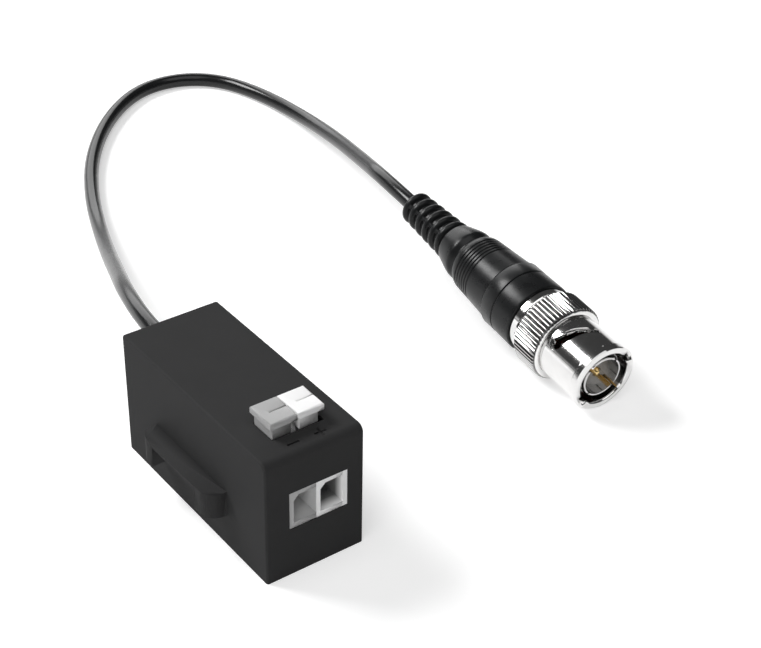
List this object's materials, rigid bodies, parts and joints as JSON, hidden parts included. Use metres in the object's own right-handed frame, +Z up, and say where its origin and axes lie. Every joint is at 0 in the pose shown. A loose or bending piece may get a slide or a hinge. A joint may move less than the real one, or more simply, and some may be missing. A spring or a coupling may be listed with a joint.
{
  "type": "passive cctv video balun",
  "caption": "Black block housing with a push-in wire terminal, side interlock bracket, and a short coax lead that ends in a bayonet video plug.",
  "frame": {"origin": "centre of the housing's base face", "axes": "+Z up; -Y the front with the wire sockets; +Y the rear where the cable leaves; -X the side with the bracket"},
  "size_m": [0.0922, 0.1546, 0.0251],
  "materials": {
    "housing_plastic": "fine matt moulded texture, nearly black",
    "pole_grey": "satin moulded, mid grey",
    "pole_white": "satin moulded, white",
    "board_laminate": "solder-masked laminate",
    "spring_steel": "bright rolled strip",
    "tinned_copper": "tinned",
    "ferrite": "sintered dark grey",
    "enamelled_copper": "enamelled wire",
    "ceramic": "fired ceramic with metal ends",
    "boot_rubber": "semi-gloss moulded soft plastic",
    "cable_jacket": "smooth extruded jacket with a soft shine",
    "cable_core_plastic": "natural dielectric",
    "plug_nickel": "bright nickel plate",
    "plug_insulator": "natural white",
    "contact_gold": "gold flash",
    "gasket_silicone": "moulded silicone"
  },
  "bodies": {
    "root": {"bottom_cover": "housing_plastic", "braid_lead": "tinned_copper", "cable": "cable_jacket", "cable_core": "cable_core_plastic", "cable_grommet": "boot_rubber", "cable_head": "cable_jacket", "cable_tail": "cable_jacket", "center_pin": "contact_gold", "chip_capacitors": "ceramic", "chip_resistors": "ceramic", "circuit_board": "board_laminate", "clamp_spring_minus": "spring_steel", "clamp_spring_plus": "spring_steel", "contact_bar_minus": "tinned_copper", "contact_bar_plus": "tinned_copper", "core_lead": "tinned_copper", "crimp_ferrule": "plug_nickel", "ferrite_core": "ferrite", "housing_shell": "housing_plastic", "mouth_gasket": "gasket_silicone", "outer_contact": "plug_nickel", "plug_body": "plug_nickel", "plug_boot": "boot_rubber", "plug_insulator": "plug_insulator", "pole_minus": "pole_grey", "pole_plus": "pole_white", "rear_collar": "plug_nickel", "surge_arrester": "ceramic", "terminal_end_plate": "pole_white", "wave_washer": "spring_steel", "winding_line": "enamelled_copper", "winding_signal": "enamelled_copper"},
    "minus_button": {"button_minus": "pole_grey"},
    "plus_button": {"button_plus": "pole_white"},
    "coupling_washer": {"thrust_washer": "plug_nickel"},
    "coupling": {"coupling_sleeve": "plug_nickel", "closing_ring": "plug_nickel"}
  },
  "joints": [
    {"name": "minus_press", "type": "slide", "parent": "root", "child": "minus_button", "axis": [0, 0, -1], "range_m": [0, 0.0015], "stiffness_N_per_m": 4000, "springref_m": -0.0002, "deforming": ["clamp_spring_minus"]},
    {"name": "plus_press", "type": "slide", "parent": "root", "child": "plus_button", "axis": [0, 0, -1], "range_m": [0, 0.0015], "stiffness_N_per_m": 4000, "springref_m": -0.0002, "deforming": ["clamp_spring_plus"]},
    {"name": "coupling_float", "type": "slide", "parent": "root", "child": "coupling_washer", "axis": [-0.0521, -0.9941, -0.0948], "range_m": [0, 0.0008], "stiffness_N_per_m": 12000, "springref_m": -0.0001, "deforming": ["wave_washer"]},
    {"name": "coupling_spin", "type": "hinge", "parent": "coupling_washer", "child": "coupling", "pos_m": [0.06251, -0.00639, 0.00733], "axis": [-0.0521, -0.9941, -0.0948], "continuous": true}
  ]
}
